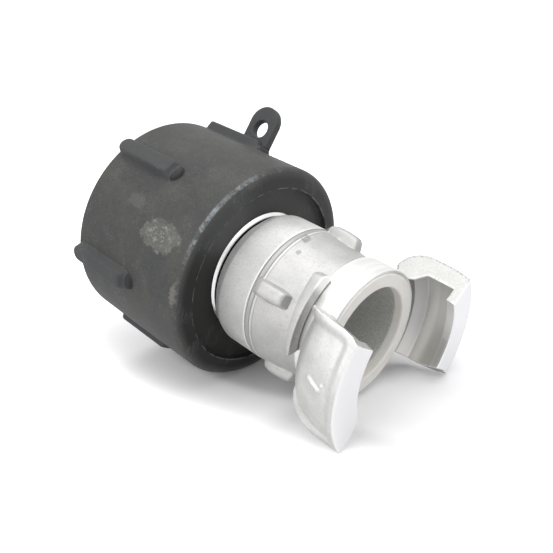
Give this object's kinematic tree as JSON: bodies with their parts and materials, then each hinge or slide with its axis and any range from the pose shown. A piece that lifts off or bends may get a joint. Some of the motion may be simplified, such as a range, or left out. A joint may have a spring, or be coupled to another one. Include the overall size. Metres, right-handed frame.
{
  "type": "symmetrical hose coupling",
  "caption": "Tank adapter with a swivelling threaded cap nut at one end and a symmetrical claw hose coupling with a cam lock ring at the other.",
  "frame": {"origin": "on the bore's axis in the plane of the cap nut's open mouth", "axes": "+Z along the bore from the cap nut to the claws; +X through the middle of one claw; +Y completes the right-handed frame"},
  "size_m": [0.1248, 0.1287, 0.1717],
  "materials": {
    "black_moulding": "moulded black, worn at the edges",
    "black_rubber": "black rubber",
    "machined_aluminium": "turned bright",
    "white_slip": "smooth white",
    "bright_steel": "bright",
    "cast_aluminium": "fine blasted casting",
    "pin_steel": "ground",
    "joint_rubber": "black rubber",
    "ring_aluminium": "fine blasted casting",
    "claw_aluminium": "fine blasted casting, machined faces",
    "cream_rubber": "cream food-grade rubber"
  },
  "bodies": {
    "coupling": {"flanged_nipple": "machined_aluminium", "mouth_gasket": "black_rubber", "slip_ring": "white_slip", "thrust_washer": "bright_steel", "threaded_socket": "cast_aluminium", "stop_pin": "pin_steel", "joint_ring": "joint_rubber", "claw_head": "claw_aluminium", "face_gasket": "cream_rubber"},
    "nut": {"cap_nut": "black_moulding"},
    "ring": {"lock_ring": "ring_aluminium"}
  },
  "joints": [
    {"name": "nut_swivel", "type": "hinge", "parent": "coupling", "child": "nut", "pos_m": [0, 0, 0.072], "axis": [0, 0, 1], "continuous": true},
    {"name": "lock_ring_turn", "type": "hinge", "parent": "coupling", "child": "ring", "pos_m": [0, 0, 0.118], "axis": [0, 0, 1], "range_deg": [0, 110]}
  ]
}
